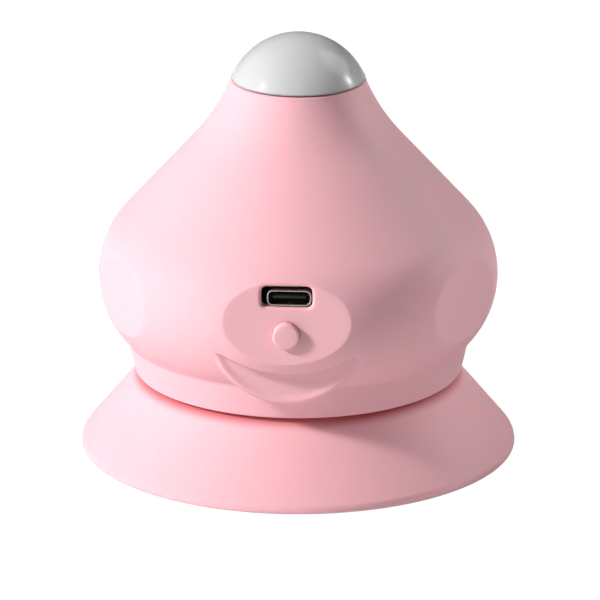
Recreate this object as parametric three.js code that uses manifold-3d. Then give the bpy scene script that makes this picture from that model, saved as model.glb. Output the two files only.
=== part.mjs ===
// A small UV LED nail lamp: a round housing with a silicone press dome on top,
// a USB-C socket and a power button on the front, and a soft flared foot.
// Millimetres, +Z up, the face points to -Y, the origin is at the middle of the foot's underside.

import * as THREE from 'three';
import { mergeVertices } from 'three/addons/utils/BufferGeometryUtils.js';
import Module from 'manifold-3d';

const wasm = await Module();
wasm.setup();

// ---------------------------------------------------------------- driving dimensions

const clearance = 0.3; // gap between pieces that seat on or in each other
const roundSegments = 48; // facets round the large turned pieces
const smallSegments = 16; // facets round posts and pins
const holeSegments = 10; // facets round screw holes

// foot
const footRadius = 45.2; // outer radius of the skirt at the table
const footLip = 1.3; // height of the skirt's upright lower edge
const footTop = 18.3; // height of the foot's flat top
const skirtWall = 2.8;
const webThickness = 2.8; // the foot's top web
const webReach = 1.7; // the web ends this far inside the cover's posts

// housing, outside
const bodyRadius = 41.3; // widest radius of the bulge
const bulgeRound = 18.7; // radius of the bulge's section
const bulgeRise = 20.3; // height of the widest circle above the rim
const coneLean = THREE.MathUtils.degToRad(42.2); // the cone's side, from the vertical
const neckRound = 42; // radius of the flare under the dome
const neckLean = THREE.MathUtils.degToRad(21.8); // side of the neck at the mouth, from the vertical
const mouthRadius = 13.85; // outer radius of the housing's upper rim
const rimInset = 7.3; // how far the collar's lower rim sits inside the bulge
const rimDrop = 1.7; // how far the rim hangs below the foot's top
const collarDraft = 0.229; // the collar widens this much per unit of height
const skirtGap = 1.4; // space between the rim and the skirt that passes inside it

// housing, inside
const wall = 2.2;
const rimEdge = 0.9; // thickness of the rim's lower edge
const mouthLip = 2.4; // thickness of the ledge round the mouth
const mouthStep = 0.4; // the hole for the dome is this much narrower than the wall inside
const postRadius = 2.7;
const postShoulder = 0.9; // the wider part of a post, above the board
const bossRadius = 2.5; // short bosses for the board and the heat sink
const postInset = 8; // the cover's posts stand this far inside the rim
const screwCore = 1.3; // radius of a pilot hole
const frontPadWall = 2.4; // thickness behind the front oval

// front oval and side ovals: flat cuts in the bulge
const ovalDepth = 2.08;
const ovalTilt = THREE.MathUtils.degToRad(6); // the front oval looks slightly upwards
const sideOvalAngle = THREE.MathUtils.degToRad(63); // from the face, round the vertical axis
const sideOvalDepth = 1.9;

// smile: a flat face between two arcs, sunk in the bulge and proud of the collar
const smileInset = 3.85; // its plane, inside the bulge's widest radius
const smileLowerRound = 16;
const smileUpperRound = 26;
const smileBottomDrop = 16.2; // lowest point below the widest circle
const smileTopDrop = 9.0; // the upper arc's lowest point below the widest circle

// USB-C socket
const portRise = 7.05; // centre of the opening above the widest circle
const portMarginWide = 1.36; // the opening is this much wider than the socket
const portMarginHigh = 0.94; // and this much higher
const portCorner = 1.1;
const socketWidth = 8.94;
const socketHeight = 3.26;
const socketLength = 7.35;
const socketWall = 0.3;
const socketCorner = 1.25;
const socketShift = 0.48; // the socket sits a little to one side of its opening
const socketSag = 0.2; // and a little low
const socketRecess = 0.3; // its mouth, behind the flat oval
const tongueWidth = 6.7;
const tongueThickness = 0.7;
const tongueRecess = 0.75; // its tip, behind the socket's mouth
const tongueRoot = 2.1; // length of the block that fills the socket's rear

// power button and its switch
const buttonDrop = 0.67; // centre below the widest circle
const buttonRadius = 2.75;
const buttonProud = 1.5; // how far it stands out of the oval
const buttonTravel = 0.4;
const buttonEdge = 0.45; // rounding of its front edge
const buttonFlange = 1.2; // the retaining tabs reach this far to each side
const buttonFlangeHigh = 0.4; // and this far above and below
const buttonFlangeThick = 1;
const plungerRadius = 1.75;
const switchWidth = 6.2;
const switchDepth = 3.7;
const plungerOut = 1.3; // how far the plunger stands out of the switch
const plungerIn = 1.1; // and how far it reaches in

// dome, lens and light source
const domeHeight = 9.25; // above the seam
const domeInset = 0.05; // the dome's base, inside the mouth's edge
const domeWall = 2.6;
const domeBead = 2.0; // height of the snap bead under the ledge
const domeBeadReach = 1.4; // how far the bead stands out of the plug
const plugWall = 1.8;
const lensRim = 1.3;
const lensRoom = 2.9; // height of the hollow over the light sources
const lensToBoard = 1.6; // from the light board up to the plug's underside
const ledSize = 3.5;
const ledToLens = 0.7; // space between a light source's corner and the lens's skirt
const ledCount = 3;
const ledBoardRim = 1; // the light board reaches this far under the plug
const ledBoardThickness = 1.2;
const sinkFins = 8;
const sinkFinHeight = 6;
const sinkFlange = 1.8;
const sinkStep = 2.5; // height of the seat above the flange
const sinkFinThickness = 1.2;
const sinkHubRadius = 4;
const sinkScrewInset = 0.5; // its screws' circle, inside the mouth's radius

// boards, battery and cover
const boardThickness = 1.2;
const boardInset = 4; // the round board's edge, inside the rim's radius
const boardTabMargin = 5; // the board's tab is this much wider than the socket
const boardScrewInset = 4; // its two screws, inside its edge
const solderGap = 0.1;
const batteryLength = 35;
const batteryCapRadius = 2.8;
const batteryCapHeight = 0.8;
const padLength = 22;
const padWidth = 9;
const padThickness = 0.8;
const coverThickness = 2;
const cradleHeight = 6;
const cradleThickness = 2;
const connectorWidth = 6;
const connectorDepth = 4.5;
const connectorHeight = 4;
const spigotWall = 2.5;
const spigotLip = 1.4; // how far the spigot's lip holds the foot
const spigotLipHeight = 2;
const leadRadius = 0.5;
const leadPitch = 1.3; // each lead of a pair runs this far to its side

// screws
const screwRadius = 0.95;
const screwHeadRadius = 2.1;
const screwHeadHeight = 1.1;
const coverScrewLength = 9;
const boardScrewLength = 6;
const sinkScrewLength = 4.6;
const screwSeatGap = 0.1; // between a screw's head and what it holds

// ---------------------------------------------------------------- places worked out from them

const rimHeight = footTop - rimDrop;
const rimRadius = bodyRadius - rimInset;
const waist = rimHeight + bulgeRise; // height of the widest circle
const bulgeCentre = bodyRadius - bulgeRound;
const mouthHeight = outlineEnd()[1];

const farOut = 100; // well outside the lamp, for tools that cut right through
const ovalMiddleOut = bulgeCentre + (bulgeRound - ovalDepth) * Math.cos(ovalTilt);
const ovalMiddleUp = waist + (bulgeRound - ovalDepth) * Math.sin(ovalTilt);
const smilePlane = -(bodyRadius - smileInset);
const portHeightUp = waist + portRise;
const buttonHeightUp = waist - buttonDrop;
const frontWallBack = -(bodyRadius - ovalDepth - frontPadWall); // flat inside face behind the front oval
const portWidth = socketWidth + portMarginWide;
const portHeight = socketHeight + portMarginHigh;

const socketUp = portHeightUp - socketSag;
const boardTop = socketUp - socketHeight / 2 - solderGap;
const boardUnder = boardTop - boardThickness;
const boardRadius = rimRadius - boardInset;
const postCircle = rimRadius - postInset;

const coverUnder = footTop + clearance;
const coverTop = coverUnder + coverThickness;
const coverSeat = coverUnder + screwHeadHeight + clearance; // floor of a screw's recess
const coverRadius = rimRadius + collarDraft * rimDrop - wall - clearance;
const batteryRadius = (boardUnder - coverTop - padThickness - 4 * clearance) / 2;
const batteryUp = coverTop + padThickness + 2 * clearance + batteryRadius;

const webBore = postCircle - webReach;
const spigotRadius = webBore - clearance;
const lipTop = footTop - webThickness - clearance;

const domeBase = mouthHeight + clearance;
const domeRadius = mouthRadius - domeInset;
const domeSphere = (domeRadius ** 2 + domeHeight ** 2) / (2 * domeHeight);
const domeCentre = domeBase + domeHeight - domeSphere;
const mouthBore = mouthRadius - wall - mouthStep;
const plugRadius = mouthBore - clearance;
const plugBore = plugRadius - plugWall;
const lensRadius = plugBore - clearance;
const beadTop = mouthHeight - mouthLip - clearance;
const beadUnder = beadTop - domeBead;

const ledBoardTop = beadUnder - lensToBoard;
const ledBoardRadius = plugBore + ledBoardRim;
const ledCircle = lensRadius - lensRim - ledSize * Math.SQRT1_2 - ledToLens;
const ledBoardUnder = ledBoardTop - ledBoardThickness;
const sinkTop = ledBoardUnder - clearance;
const flangeTop = sinkTop - sinkStep;
const flangeUnder = flangeTop - sinkFlange;
const sinkScrewCircle = mouthRadius - sinkScrewInset;
const leadNotchIn = ledBoardRadius + 1; // inner edge of the flange's notch for the leads
const boardScrewOut = boardRadius - boardScrewInset;
const batteryConnectorY = batteryRadius + 7;
const ledConnectorY = sinkScrewCircle - 1.2;

const postAngles = [45, 135, 225, 315].map(THREE.MathUtils.degToRad);
const bothSides = [1, -1];

// ---------------------------------------------------------------- geometry helpers

function toSolid(geometry) {
  geometry.deleteAttribute('normal');
  geometry.deleteAttribute('uv');
  const merged = mergeVertices(geometry, 1e-4);
  return new wasm.Manifold(new wasm.Mesh({
    numProp: 3,
    vertProperties: new Float32Array(merged.attributes.position.array),
    triVerts: new Uint32Array(merged.index.array),
  }));
}

function toGeometry(solid) {
  const cut = solid.getMesh();
  const geometry = new THREE.BufferGeometry();
  geometry.setAttribute('position', new THREE.BufferAttribute(cut.vertProperties, cut.numProp));
  geometry.setIndex(new THREE.BufferAttribute(cut.triVerts, 1));
  geometry.computeVertexNormals();
  return geometry;
}

// Turns a profile of [radius, height] points about the vertical axis.
function turned(profile, segments = roundSegments) {
  const points = profile.map(([radius, height]) => new THREE.Vector2(radius, height));
  const geometry = new THREE.LatheGeometry(points, segments);
  geometry.rotateX(Math.PI / 2);
  return toSolid(geometry);
}

function ring(innerRadius, outerRadius, under, top, segments = roundSegments) {
  return turned([
    [innerRadius, under],
    [outerRadius, under],
    [outerRadius, top],
    [innerRadius, top],
    [innerRadius, under],
  ], segments);
}

function disc(radius, under, top, segments = smallSegments) {
  return turned([[0, under], [radius, under], [radius, top], [0, top]], segments);
}

function block(low, high) {
  const size = high.map((value, axis) => value - low[axis]);
  const geometry = new THREE.BoxGeometry(...size);
  geometry.translate(...high.map((value, axis) => (value + low[axis]) / 2));
  return toSolid(geometry);
}

// Points of an arc about a centre, from one angle to another, in the profile's plane.
function arc(centre, radius, from, to, steps) {
  return Array.from({ length: steps + 1 }, (_, i) => {
    const angle = from + (to - from) * i / steps;
    return [centre[0] + radius * Math.cos(angle), centre[1] + radius * Math.sin(angle)];
  });
}

// A flat outline of [x, z] points, extruded along Y between two places.
function prismAlongY(outline, front, back) {
  const shape = new THREE.Shape(outline.map(([x, z]) => new THREE.Vector2(x, z)));
  const geometry = new THREE.ExtrudeGeometry(shape, { depth: back - front, bevelEnabled: false });
  geometry.rotateX(Math.PI / 2);
  geometry.translate(0, back, 0);
  return toSolid(geometry);
}

function roundedRectangle(width, height, corner, steps = 4) {
  const corners = [[1, 1], [-1, 1], [-1, -1], [1, -1]];
  return corners.flatMap(([sideX, sideZ], quarter) => {
    const centre = [sideX * (width / 2 - corner), sideZ * (height / 2 - corner)];
    return arc(centre, corner, quarter * Math.PI / 2, (quarter + 1) * Math.PI / 2, steps);
  });
}

function circleOutline(radius, steps = smallSegments) {
  return arc([0, 0], radius, 0, 2 * Math.PI, steps).slice(0, -1);
}

function atCompass(radius, angle) {
  return [radius * Math.cos(angle), radius * Math.sin(angle)];
}

// ---------------------------------------------------------------- the housing's outline

// Outline of the housing from its crease to its mouth, set inwards by an offset.
function outline(offset = 0, arcSteps = 8, neckSteps = 4) {
  const collar = rimRadius - offset - bulgeCentre + collarDraft * bulgeRise;
  const round = bulgeRound - offset;
  const squared = 1 + collarDraft ** 2;
  const root = Math.sqrt((collarDraft * collar) ** 2 - squared * (collar ** 2 - round ** 2));
  const down = (-collarDraft * collar - root) / squared;
  const creaseAngle = Math.asin(down / round);
  const bulge = arc([bulgeCentre, waist], round, creaseAngle, coneLean, arcSteps);

  // the flare is tangent to the cone, and ends at the mouth with the neck's own lean
  const flareDrop = neckRound * (Math.cos(neckLean) - Math.cos(coneLean));
  const coneEndRadius = mouthRadius + flareDrop;
  const [tangentRadius, tangentHeight] = arc([bulgeCentre, waist], bulgeRound, coneLean, coneLean, 1)[0];
  const coneEndHeight = tangentHeight + (tangentRadius - coneEndRadius) / Math.tan(coneLean);
  const flareCentre = [
    coneEndRadius + neckRound * Math.cos(coneLean),
    coneEndHeight + neckRound * Math.sin(coneLean),
  ];
  const flare = arc(flareCentre, neckRound + offset, Math.PI + coneLean, Math.PI + neckLean, neckSteps);
  return [...bulge, ...flare];
}

function outlineEnd() {
  return outline(0).at(-1);
}

// ---------------------------------------------------------------- housing

function faceCut() {
  const cut = block([-farOut, -farOut, -farOut], [farOut, 0, farOut]);
  const placed = new THREE.Matrix4().makeRotationX(-ovalTilt);
  placed.setPosition(0, -ovalMiddleOut, ovalMiddleUp);
  return cut.transform(placed.elements);
}

function sideCut(side) {
  const distance = bodyRadius - sideOvalDepth;
  const cut = block([-farOut, -farOut, waist - 20], [farOut, -distance, waist + 20]);
  return cut.rotate([0, 0, side * THREE.MathUtils.radToDeg(sideOvalAngle)]);
}

function sidePad(side) {
  const distance = bodyRadius - sideOvalDepth - wall;
  const pad = block([-16, -farOut, waist - 14], [16, -distance, waist + 14]);
  return pad.rotate([0, 0, side * THREE.MathUtils.radToDeg(sideOvalAngle)]);
}

// The disc whose lower arc is the smile's lip.
function smileLobe(front, back) {
  const centreUp = waist - smileBottomDrop + smileLowerRound;
  const lobe = prismAlongY(circleOutline(smileLowerRound, 48), front, back);
  return lobe.translate([0, 0, centreUp]);
}

// The disc above the smile, whose lower arc is the smile's upper edge.
function smileCap(front, back) {
  const centreUp = waist - smileTopDrop + smileUpperRound;
  const cap = prismAlongY(circleOutline(smileUpperRound, 72), front, back);
  return cap.translate([0, 0, centreUp]);
}

function cavity() {
  const inner = outline(wall, 6, 3);
  const bevel = (wall - rimEdge) / skirtSlope();
  const ledge = mouthHeight - mouthLip;
  const below = inner.filter(([, height]) => height < ledge - 0.2);
  const neckEnd = below.at(-1);
  const hollow = turned([
    [0, rimHeight - 1],
    [rimRadius - rimEdge, rimHeight - 1],
    [rimRadius - rimEdge, rimHeight],
    [rimRadius - wall + collarDraft * bevel, rimHeight + bevel],
    ...below,
    [neckEnd[0] - (ledge - neckEnd[1]) * Math.tan(neckLean), ledge],
    [mouthBore, ledge],
    [mouthBore, mouthHeight + 1],
    [0, mouthHeight + 1],
  ]);
  const padHalf = smileLowerRound + 1;
  const split = waist - 7; // between the pads behind the oval and behind the smile
  const upperPad = block([-padHalf, -farOut, split], [padHalf, frontWallBack, waist + 12]);
  const lowerPad = block([-padHalf, -farOut, rimHeight + 3], [padHalf, smilePlane + wall, split + 0.1]);
  return hollow.subtract(upperPad).subtract(lowerPad).subtract(sidePad(1)).subtract(sidePad(-1));
}

function coverPost(angle) {
  const [x, y] = atCompass(postCircle, angle);
  const shoulder = disc(postRadius + postShoulder, boardTop + clearance, mouthHeight);
  const shank = disc(postRadius, coverTop + clearance, mouthHeight);
  return shoulder.add(shank).translate([x, y, 0]);
}

function coverPostBore(angle) {
  const [x, y] = atCompass(postCircle, angle);
  return disc(screwCore, coverTop - 1, coverSeat + coverScrewLength + 1, holeSegments).translate([x, y, 0]);
}

function sinkBoss(side) {
  const place = [side * sinkScrewCircle, 0, 0];
  const boss = disc(bossRadius, flangeTop + clearance, beadUnder - clearance).translate(place);
  const boreTop = flangeUnder + sinkScrewLength + 0.5;
  const bore = disc(screwCore, flangeTop - 1, boreTop, holeSegments).translate(place);
  return { boss, bore };
}

function boardBoss(side) {
  const place = [side * boardScrewOut, 0, 0];
  const boss = disc(bossRadius, boardTop + clearance, mouthHeight).translate(place);
  const bore = disc(screwCore, boardTop, boardUnder + boardScrewLength + 1, holeSegments).translate(place);
  return { boss, bore };
}

function housingSolid() {
  const profile = outline(0);
  const body = turned([[0, rimHeight], [rimRadius, rimHeight], ...profile, [0, mouthHeight]]);
  const lobe = smileLobe(smilePlane, -bulgeCentre);
  const aboveSmile = smileCap(-farOut, -bulgeCentre);
  const smileRoom = smileLobe(-farOut, smilePlane).subtract(aboveSmile);
  let outside = body.add(lobe.subtract(aboveSmile)).subtract(smileRoom).subtract(faceCut());
  bothSides.forEach((side) => {
    outside = outside.subtract(sideCut(side));
  });

  let shell = outside.subtract(cavity());
  const sinkBosses = bothSides.map(sinkBoss);
  const boardBosses = bothSides.map(boardBoss);
  const bosses = [...sinkBosses, ...boardBosses].map(({ boss }) => boss);
  [...postAngles.map(coverPost), ...bosses].forEach((post) => {
    shell = shell.add(post.intersect(outside));
  });
  const bores = [...sinkBosses, ...boardBosses].map(({ bore }) => bore);
  [...postAngles.map(coverPostBore), ...bores].forEach((bore) => {
    shell = shell.subtract(bore);
  });

  const port = prismAlongY(roundedRectangle(portWidth, portHeight, portCorner), -farOut, -bulgeCentre);
  const buttonHole = prismAlongY(circleOutline(buttonRadius + clearance, 24), -farOut, -bulgeCentre);
  return shell
    .subtract(port.translate([0, 0, portHeightUp]))
    .subtract(buttonHole.translate([0, 0, buttonHeightUp]));
}

// ---------------------------------------------------------------- foot and bottom cover

function skirtSlope() {
  return (footRadius - (rimRadius - skirtGap)) / (rimHeight - footLip);
}

function skirtRadius(height) {
  return footRadius - skirtSlope() * (height - footLip);
}

function footSolid() {
  const sideways = skirtWall * Math.hypot(1, skirtSlope());
  const webUnder = footTop - webThickness;
  const edge = 0.9; // rounding of the skirt's lower edge
  return turned([
    ...arc([footRadius - edge, edge], edge, -Math.PI / 2, 0, 3),
    [footRadius, footLip],
    [skirtRadius(footTop - 0.4), footTop - 0.4],
    [skirtRadius(footTop) - 0.3, footTop],
    [webBore, footTop],
    [webBore, webUnder],
    [skirtRadius(webUnder) - sideways, webUnder],
    [footRadius - sideways, footLip],
    [footRadius - sideways, 0],
    [footRadius - edge, 0],
  ]);
}

function coverSolid() {
  const lipUnder = lipTop - spigotLipHeight;
  const spigotBore = spigotRadius - spigotWall;
  const plate = turned([
    [0, coverUnder],
    [spigotBore, coverUnder],
    [spigotBore, lipUnder],
    [spigotRadius, lipUnder],
    [spigotRadius + spigotLip, lipUnder + spigotLip / 2],
    [spigotRadius + spigotLip, lipTop],
    [spigotRadius, lipTop],
    [spigotRadius, coverUnder],
    [coverRadius, coverUnder],
    [coverRadius, coverTop],
    [0, coverTop],
  ]);
  const cradle = bothSides.map((side) => {
    const x = side * (padLength + cradleThickness + 1) / 2;
    const half = cradleThickness / 2;
    const deep = batteryRadius + 1;
    return block([x - half, -deep, coverTop - 0.5], [x + half, deep, coverTop + cradleHeight]);
  });
  const bed = prismAlongX(circleOutline(batteryRadius + clearance, 24), -batteryLength, batteryLength);
  let cover = plate;
  cradle.forEach((rib) => {
    cover = cover.add(rib.subtract(bed.translate([0, 0, batteryUp])));
  });
  postAngles.forEach((angle) => {
    const [x, y] = atCompass(postCircle, angle);
    const through = disc(screwRadius + clearance, coverUnder - 1, coverTop + 1, holeSegments);
    const recess = disc(screwHeadRadius + clearance, coverUnder - 1, coverSeat, smallSegments);
    cover = cover.subtract(through.add(recess).translate([x, y, 0]));
  });
  return cover;
}

function prismAlongX(outlineYZ, from, to) {
  const alongY = prismAlongY(outlineYZ, from, to);
  return alongY.rotate([0, 0, -90]);
}

// ---------------------------------------------------------------- dome and light source

function domeArc(radius, from, steps) {
  const start = Math.acos(Math.min(1, from / radius));
  return arc([0, domeCentre], radius, start, Math.PI / 2, steps)
    .map(([r, z], i) => (i === steps ? [0, z] : [r, z]));
}

function domeSolid() {
  const hollow = domeArc(domeSphere - domeWall, plugBore, 4).reverse();
  return turned([
    ...hollow,
    [plugBore, beadUnder],
    [plugRadius + 0.5, beadUnder],
    [plugRadius + domeBeadReach, beadUnder + domeBead * 0.6],
    [plugRadius + domeBeadReach, beadTop],
    [plugRadius, beadTop],
    [plugRadius, domeBase],
    ...domeArc(domeSphere, domeRadius, 7),
  ], 40);
}

function lensSolid() {
  const under = ledBoardTop + clearance;
  const roof = ledBoardTop + lensRoom;
  return turned([
    [0, roof],
    [lensRadius - lensRim, roof],
    [lensRadius - lensRim, under],
    [lensRadius, under],
    ...domeArc(domeSphere - domeWall - clearance, lensRadius, 5),
  ], 32);
}

function ledSolid(index) {
  const [x, y] = atCompass(ledCircle, Math.PI / 2 + index * 2 * Math.PI / ledCount);
  const under = ledBoardTop + solderGap;
  const half = ledSize / 2;
  const base = 1.1; // height of the ceramic base
  const bead = half - 0.3; // radius of the resin lens
  const body = block([-half, -half, under], [half, half, under + base]);
  const lens = turned([
    [0, under + base - 0.3],
    ...arc([0, under + base - 0.1], bead, 0, Math.PI / 2, 3).slice(0, -1),
    [0, under + base - 0.1 + bead],
  ], 12);
  return body.add(lens).translate([x, y, 0]);
}

function heatSinkSolid() {
  const finUnder = flangeUnder - sinkFinHeight;
  const core = disc(ledBoardRadius - ledBoardRim / 2, flangeUnder, sinkTop, 32);
  const flange = disc(sinkScrewCircle + bossRadius, flangeUnder, flangeTop, 36);
  const hub = disc(sinkHubRadius, finUnder, flangeTop);
  let sink = core.add(flange).add(hub);
  for (let i = 0; i < sinkFins; i += 1) {
    const half = sinkFinThickness / 2;
    const fin = block([sinkHubRadius - 1, -half, finUnder], [sinkScrewCircle, half, flangeTop - 0.5]);
    sink = sink.add(fin.rotate([0, 0, (i + 0.5) * 360 / sinkFins]));
  }
  bothSides.forEach((side) => {
    const hole = disc(screwRadius + clearance, flangeUnder - 1, flangeTop + 1, holeSegments);
    sink = sink.subtract(hole.translate([side * sinkScrewCircle, 0, 0]));
  });
  const notchHalf = leadPitch + leadRadius + 2 * clearance;
  const notch = block([-notchHalf, leadNotchIn, flangeUnder - 1], [notchHalf, farOut, flangeTop + 1]);
  return sink.subtract(notch);
}

// ---------------------------------------------------------------- boards and what is on them

function mainBoardSolid() {
  const tabHalf = (socketWidth + boardTabMargin) / 2;
  const tab = block([-tabHalf, frontWallBack + clearance, boardUnder], [tabHalf, 0, boardTop]);
  let board = disc(boardRadius, boardUnder, boardTop, 40).add(tab);
  postAngles.forEach((angle) => {
    const [x, y] = atCompass(postCircle, angle);
    const hole = disc(postRadius + clearance, boardUnder - 1, boardTop + 1);
    board = board.subtract(hole.translate([x, y, 0]));
  });
  bothSides.forEach((side) => {
    const hole = disc(screwRadius + clearance, boardUnder - 1, boardTop + 1, holeSegments);
    board = board.subtract(hole.translate([side * boardScrewOut, 0, 0]));
  });
  return board;
}

// Distance of the front oval's plane from the axis at a height.
function planeDistanceAt(height) {
  return ovalMiddleOut - (height - ovalMiddleUp) * Math.tan(ovalTilt);
}

function socketShellSolid() {
  const boreWidth = socketWidth - 2 * socketWall;
  const boreHeight = socketHeight - 2 * socketWall;
  const around = roundedRectangle(socketWidth, socketHeight, socketCorner);
  const within = roundedRectangle(boreWidth, boreHeight, socketCorner - socketWall);
  const outer = prismAlongY(around, socketMouth, socketMouth + socketLength);
  const bore = prismAlongY(within, socketMouth - 1, socketMouth + socketLength + 1);
  return outer.subtract(bore).translate([socketShift, 0, socketUp]);
}

function socketTongueSolid() {
  const inset = socketWall + clearance / 2;
  const section = roundedRectangle(socketWidth - 2 * inset, socketHeight - 2 * inset, socketCorner - inset);
  const back = socketMouth + socketLength - clearance;
  const root = prismAlongY(section, back - tongueRoot, back);
  const halfWidth = tongueWidth / 2;
  const halfThick = tongueThickness / 2;
  const tip = socketMouth + tongueRecess;
  const tongue = block([-halfWidth, tip, -halfThick], [halfWidth, back - 1, halfThick]);
  return root.add(tongue).translate([socketShift, 0, socketUp]);
}

const socketMouth = -(planeDistanceAt(socketUp) - socketRecess);
const buttonFront = -(planeDistanceAt(buttonHeightUp) + buttonProud);
const tabsFront = frontWallBack + clearance;
const tabsBack = tabsFront + buttonFlangeThick;
const plungerFront = tabsBack + clearance;
const switchFront = plungerFront + plungerOut;
const plungerBack = switchFront + plungerIn;

function buttonSolid() {
  const length = tabsBack - buttonFront;
  const cap = turned([
    [0, 0],
    [buttonRadius, 0],
    ...arc([buttonRadius - buttonEdge, length - buttonEdge], buttonEdge, 0, Math.PI / 2, 3),
    [0, length],
  ], 24).rotate([90, 0, 0]).translate([0, tabsBack, 0]);
  const wide = 2 * (buttonRadius + buttonFlange);
  const high = 2 * (buttonRadius + buttonFlangeHigh);
  const tabs = prismAlongY(roundedRectangle(wide, high, 1), tabsFront, tabsBack);
  return cap.add(tabs).translate([0, 0, buttonHeightUp]);
}

function plungerSolid() {
  const pin = prismAlongY(circleOutline(plungerRadius), plungerFront, plungerBack);
  return pin.translate([0, 0, buttonHeightUp]);
}

function switchSolid() {
  const half = switchWidth / 2;
  const body = block([-half, switchFront, buttonHeightUp - half],
    [half, switchFront + switchDepth, boardUnder - solderGap]);
  const boreBack = plungerBack + buttonTravel + clearance;
  const bore = prismAlongY(circleOutline(plungerRadius + clearance), switchFront - 1, boreBack);
  return body.subtract(bore.translate([0, 0, buttonHeightUp]));
}

// A block on the board's upper face, placed as a share of the board's radius.
function onBoard(acrossShare, deepShare, width, depth, height) {
  const x = acrossShare * boardRadius;
  const y = deepShare * boardRadius;
  const under = boardTop + solderGap;
  return block([x - width / 2, y - depth / 2, under], [x + width / 2, y + depth / 2, under + height]);
}

function capacitorSolid() {
  const can = disc(3.2, boardTop + solderGap, boardTop + 6);
  return can.translate([-0.36 * boardRadius, 0.24 * boardRadius, 0]);
}

function batteryConnectorSolid() {
  const top = boardUnder - solderGap;
  const half = [connectorWidth / 2, connectorDepth / 2];
  return block(
    [-half[0], batteryConnectorY - half[1], top - connectorHeight],
    [half[0], batteryConnectorY + half[1], top],
  );
}

function ledConnectorSolid() {
  const under = boardTop + solderGap;
  const half = [connectorWidth / 2, connectorDepth / 2];
  return block(
    [-half[0], ledConnectorY - half[1], under],
    [half[0], ledConnectorY + half[1], under + connectorHeight],
  );
}

// ---------------------------------------------------------------- battery, leads and screws

function batterySolid() {
  const half = batteryLength / 2;
  const can = prismAlongX(circleOutline(batteryRadius, 32), -half, half);
  const cap = prismAlongX(circleOutline(batteryCapRadius, 12), half - 0.1, half + batteryCapHeight);
  return can.add(cap).translate([0, 0, batteryUp]);
}

function batteryPadSolid() {
  const under = coverTop + clearance;
  return block([-padLength / 2, -padWidth / 2, under], [padLength / 2, padWidth / 2, under + padThickness]);
}

function leadSolid(points) {
  const path = new THREE.CatmullRomCurve3(points.map((point) => new THREE.Vector3(...point)));
  const section = new THREE.Shape(circleOutline(leadRadius, 6).map(([x, y]) => new THREE.Vector2(x, y)));
  return toSolid(new THREE.ExtrudeGeometry(section, { extrudePath: path, steps: 22, bevelEnabled: false }));
}

function batteryLead(side) {
  const end = batteryLength / 2 + (side > 0 ? batteryCapHeight : 0);
  const start = side * (end + clearance);
  const connectorSide = side * (connectorWidth / 2 + clearance);
  const out = side * (batteryLength / 2 + 3.2);
  return leadSolid([
    [start, 0, batteryUp],
    [start + side * 1.2, 0, batteryUp],
    [out, 2.5, batteryUp + 0.4],
    [out, batteryRadius, batteryUp + 3],
    [side * 12, batteryConnectorY, boardUnder - connectorHeight + 0.6],
    [connectorSide, batteryConnectorY, boardUnder - connectorHeight / 2],
  ]);
}

function ledLead(side) {
  const x = side * leadPitch;
  const edgeUp = ledBoardUnder + ledBoardThickness / 2;
  return leadSolid([
    [x, ledConnectorY, boardTop + solderGap + connectorHeight + clearance],
    [x, ledConnectorY + 0.4, boardTop + 9],
    [x, sinkScrewCircle + 1.2, (boardTop + flangeUnder) / 2],
    [x, leadNotchIn + 1.6, flangeUnder - 1],
    [x, leadNotchIn + 1.5, flangeTop + 0.5],
    [x, ledBoardRadius + 1.4, edgeUp],
    [x, ledBoardRadius + clearance, edgeUp],
  ]);
}

// A screw that points upwards, with its head's underside at a height.
function screwSolid(x, y, seat, length) {
  return turned([
    [0, seat - screwHeadHeight],
    [screwHeadRadius - 0.5, seat - screwHeadHeight],
    [screwHeadRadius, seat - screwHeadHeight + 0.4],
    [screwHeadRadius, seat],
    [screwRadius, seat],
    [screwRadius, seat + length - 0.8],
    [0.3, seat + length],
    [0, seat + length],
  ], 12).translate([x, y, 0]);
}

// ---------------------------------------------------------------- the assembly

const pinkPlastic = { color: 0xf2bcc6, roughness: 0.45, metalness: 0 };
const pinkSilicone = { color: 0xf4b9c3, roughness: 0.6, metalness: 0 };
const greySilicone = { color: 0xc8c8c8, roughness: 0.2, metalness: 0 };
const clearAcrylic = { color: 0xe8eef2, roughness: 0.1, metalness: 0 };
const whiteMask = { color: 0xe9e9e4, roughness: 0.5, metalness: 0 };
const greenBoard = { color: 0x1f6b3a, roughness: 0.5, metalness: 0 };
const aluminium = { color: 0xb8bcc0, roughness: 0.4, metalness: 1 };
const nickelSteel = { color: 0xc9c9c6, roughness: 0.3, metalness: 1 };
const blackPlastic = { color: 0x141416, roughness: 0.5, metalness: 0 };
const whitePlastic = { color: 0xe6e4dc, roughness: 0.5, metalness: 0 };
const blueSleeve = { color: 0x2d5f9e, roughness: 0.4, metalness: 0 };
const redLead = { color: 0xb3201c, roughness: 0.5, metalness: 0 };
const ledPackage = { color: 0xf0ecd2, roughness: 0.3, metalness: 0 };

const lamp = new THREE.Group();

function addPiece(name, solid, look) {
  const mesh = new THREE.Mesh(toGeometry(solid), new THREE.MeshStandardMaterial(look));
  mesh.name = name;
  lamp.add(mesh);
}

addPiece('housing_shell', housingSolid(), pinkPlastic);
addPiece('bottom_cover', coverSolid(), pinkPlastic);
addPiece('foot', footSolid(), pinkSilicone);

addPiece('press_dome', domeSolid(), greySilicone);
addPiece('led_lens', lensSolid(), clearAcrylic);
for (let i = 0; i < ledCount; i += 1) {
  addPiece(`uv_led_${i + 1}`, ledSolid(i), ledPackage);
}
addPiece('led_board', disc(ledBoardRadius, ledBoardUnder, ledBoardTop, 32), whiteMask);
addPiece('heat_sink', heatSinkSolid(), aluminium);

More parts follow.
